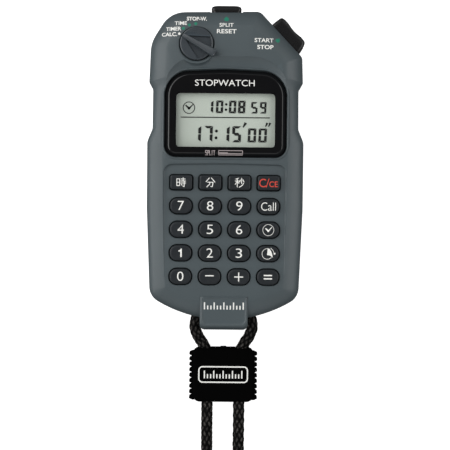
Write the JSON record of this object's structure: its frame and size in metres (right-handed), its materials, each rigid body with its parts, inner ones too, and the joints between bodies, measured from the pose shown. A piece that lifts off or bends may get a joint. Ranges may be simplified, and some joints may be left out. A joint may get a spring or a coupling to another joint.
{
  "type": "digital stopwatch",
  "caption": "Hand-held digital stopwatch with a display, calculator keypad, mode dial, top and corner pushers, and a braided neck cord with a slider.",
  "frame": {"origin": "middle of the device's bounding box on the plane its back lies on, without the neck cord, its coil and its slider", "axes": "+Y towards the top of the device, +X to its right as it is read, +Z out of its face"},
  "size_m": [0.0759, 0.3081, 0.0285],
  "materials": {
    "case_plastic": "fine satin grain, dark grey",
    "lens_clear": "clear, polished",
    "black_print": "black printed mask",
    "lcd_glass": "grey-green liquid crystal panel",
    "white_plastic": "moulded, matt",
    "elastomer": "soft moulded rubber",
    "board": "green solder mask",
    "key_plastic": "black satin caps",
    "dial_plastic": "dark grey satin",
    "switch_brass": "wiper ring",
    "button_rubber": "black satin",
    "switch_plastic": "black moulded",
    "plated_steel": "nickel plated",
    "cell_jacket": "printed jacket",
    "cord_braid": "round black braid",
    "slider_rubber": "black, matt"
  },
  "bodies": {
    "case": {"front_case": "case_plastic", "rear_case": "case_plastic", "lanyard_tab": "case_plastic", "display_lens": "lens_clear", "lens_mask": "black_print", "lcd_panel": "lcd_glass", "lcd_frame": "white_plastic", "lcd_connector_strip": "elastomer", "keypad_sheet": "elastomer", "main_board": "board", "mode_switch": "switch_brass", "start_stop_switch": "switch_plastic", "split_reset_switch": "switch_plastic", "processor_chip": "switch_plastic", "start_stop_spring": "plated_steel", "split_reset_spring": "plated_steel", "battery_bridge_contact": "plated_steel", "battery_tab_positive": "plated_steel", "battery_spring_negative": "plated_steel", "case_screw_upper_left": "plated_steel", "case_screw_upper_right": "plated_steel", "case_screw_lower_left": "plated_steel", "case_screw_lower_right": "plated_steel", "crystal": "plated_steel", "speaker": "plated_steel", "lanyard_post": "plated_steel", "battery_cell_upper": "cell_jacket", "battery_cell_lower": "cell_jacket", "lanyard_cord": "cord_braid", "lanyard_coil": "cord_braid", "coil_tie": "slider_rubber"},
    "key_hours": {"key_hours": "key_plastic"},
    "key_minutes": {"key_minutes": "key_plastic"},
    "key_seconds": {"key_seconds": "key_plastic"},
    "key_clear": {"key_clear": "key_plastic"},
    "key_7": {"key_7": "key_plastic"},
    "key_8": {"key_8": "key_plastic"},
    "key_9": {"key_9": "key_plastic"},
    "key_recall": {"key_recall": "key_plastic"},
    "key_4": {"key_4": "key_plastic"},
    "key_5": {"key_5": "key_plastic"},
    "key_6": {"key_6": "key_plastic"},
    "key_clock": {"key_clock": "key_plastic"},
    "key_1": {"key_1": "key_plastic"},
    "key_2": {"key_2": "key_plastic"},
    "key_3": {"key_3": "key_plastic"},
    "key_alarm": {"key_alarm": "key_plastic"},
    "key_0": {"key_0": "key_plastic"},
    "key_minus": {"key_minus": "key_plastic"},
    "key_plus": {"key_plus": "key_plastic"},
    "key_equals": {"key_equals": "key_plastic"},
    "mode_dial": {"mode_dial": "dial_plastic", "dial_rotor": "white_plastic"},
    "start_stop_button": {"start_stop_button": "button_rubber"},
    "split_reset_button": {"split_reset_button": "button_rubber"},
    "battery_door": {"battery_door": "case_plastic"},
    "lanyard_slider": {"lanyard_slider": "slider_rubber"}
  },
  "joints": [
    {"name": "key_hours_press", "type": "slide", "parent": "case", "child": "key_hours", "axis": [0, 0, -1], "range_m": [0, 0.0008], "stiffness_N_per_m": 300, "springref_m": -0.0005},
    {"name": "key_minutes_press", "type": "slide", "parent": "case", "child": "key_minutes", "axis": [0, 0, -1], "range_m": [0, 0.0008], "stiffness_N_per_m": 300, "springref_m": -0.0005},
    {"name": "key_seconds_press", "type": "slide", "parent": "case", "child": "key_seconds", "axis": [0, 0, -1], "range_m": [0, 0.0008], "stiffness_N_per_m": 300, "springref_m": -0.0005},
    {"name": "key_clear_press", "type": "slide", "parent": "case", "child": "key_clear", "axis": [0, 0, -1], "range_m": [0, 0.0008], "stiffness_N_per_m": 300, "springref_m": -0.0005},
    {"name": "key_7_press", "type": "slide", "parent": "case", "child": "key_7", "axis": [0, 0, -1], "range_m": [0, 0.0008], "stiffness_N_per_m": 300, "springref_m": -0.0005},
    {"name": "key_8_press", "type": "slide", "parent": "case", "child": "key_8", "axis": [0, 0, -1], "range_m": [0, 0.0008], "stiffness_N_per_m": 300, "springref_m": -0.0005},
    {"name": "key_9_press", "type": "slide", "parent": "case", "child": "key_9", "axis": [0, 0, -1], "range_m": [0, 0.0008], "stiffness_N_per_m": 300, "springref_m": -0.0005},
    {"name": "key_recall_press", "type": "slide", "parent": "case", "child": "key_recall", "axis": [0, 0, -1], "range_m": [0, 0.0008], "stiffness_N_per_m": 300, "springref_m": -0.0005},
    {"name": "key_4_press", "type": "slide", "parent": "case", "child": "key_4", "axis": [0, 0, -1], "range_m": [0, 0.0008], "stiffness_N_per_m": 300, "springref_m": -0.0005},
    {"name": "key_5_press", "type": "slide", "parent": "case", "child": "key_5", "axis": [0, 0, -1], "range_m": [0, 0.0008], "stiffness_N_per_m": 300, "springref_m": -0.0005},
    {"name": "key_6_press", "type": "slide", "parent": "case", "child": "key_6", "axis": [0, 0, -1], "range_m": [0, 0.0008], "stiffness_N_per_m": 300, "springref_m": -0.0005},
    {"name": "key_clock_press", "type": "slide", "parent": "case", "child": "key_clock", "axis": [0, 0, -1], "range_m": [0, 0.0008], "stiffness_N_per_m": 300, "springref_m": -0.0005},
    {"name": "key_1_press", "type": "slide", "parent": "case", "child": "key_1", "axis": [0, 0, -1], "range_m": [0, 0.0008], "stiffness_N_per_m": 300, "springref_m": -0.0005},
    {"name": "key_2_press", "type": "slide", "parent": "case", "child": "key_2", "axis": [0, 0, -1], "range_m": [0, 0.0008], "stiffness_N_per_m": 300, "springref_m": -0.0005},
    {"name": "key_3_press", "type": "slide", "parent": "case", "child": "key_3", "axis": [0, 0, -1], "range_m": [0, 0.0008], "stiffness_N_per_m": 300, "springref_m": -0.0005},
    {"name": "key_alarm_press", "type": "slide", "parent": "case", "child": "key_alarm", "axis": [0, 0, -1], "range_m": [0, 0.0008], "stiffness_N_per_m": 300, "springref_m": -0.0005},
    {"name": "key_0_press", "type": "slide", "parent": "case", "child": "key_0", "axis": [0, 0, -1], "range_m": [0, 0.0008], "stiffness_N_per_m": 300, "springref_m": -0.0005},
    {"name": "key_minus_press", "type": "slide", "parent": "case", "child": "key_minus", "axis": [0, 0, -1], "range_m": [0, 0.0008], "stiffness_N_per_m": 300, "springref_m": -0.0005},
    {"name": "key_plus_press", "type": "slide", "parent": "case", "child": "key_plus", "axis": [0, 0, -1], "range_m": [0, 0.0008], "stiffness_N_per_m": 300, "springref_m": -0.0005},
    {"name": "key_equals_press", "type": "slide", "parent": "case", "child": "key_equals", "axis": [0, 0, -1], "range_m": [0, 0.0008], "stiffness_N_per_m": 300, "springref_m": -0.0005},
    {"name": "mode_dial_turn", "type": "hinge", "parent": "case", "child": "mode_dial", "pos_m": [-0.0142, 0.0589, 0.0241], "axis": [0, 0, 1], "range_deg": [-60, 0]},
    {"name": "start_stop_press", "type": "slide", "parent": "case", "child": "start_stop_button", "axis": [-0.7307, -0.6827, 0], "range_m": [0, 0.0012], "stiffness_N_per_m": 600, "springref_m": -0.001, "deforming": ["start_stop_spring"]},
    {"name": "split_reset_press", "type": "slide", "parent": "case", "child": "split_reset_button", "axis": [0, -1, 0], "range_m": [0, 0.0012], "stiffness_N_per_m": 600, "springref_m": -0.001, "deforming": ["split_reset_spring"]},
    {"name": "battery_door_hinge", "type": "hinge", "parent": "case", "child": "battery_door", "pos_m": [0, -0.028, 0.001], "axis": [1, 0, 0], "range_deg": [0, 75]},
    {"name": "lanyard_slider_slide", "type": "slide", "parent": "case", "child": "lanyard_slider", "axis": [0, -1, 0], "range_m": [0, 0.025]}
  ]
}
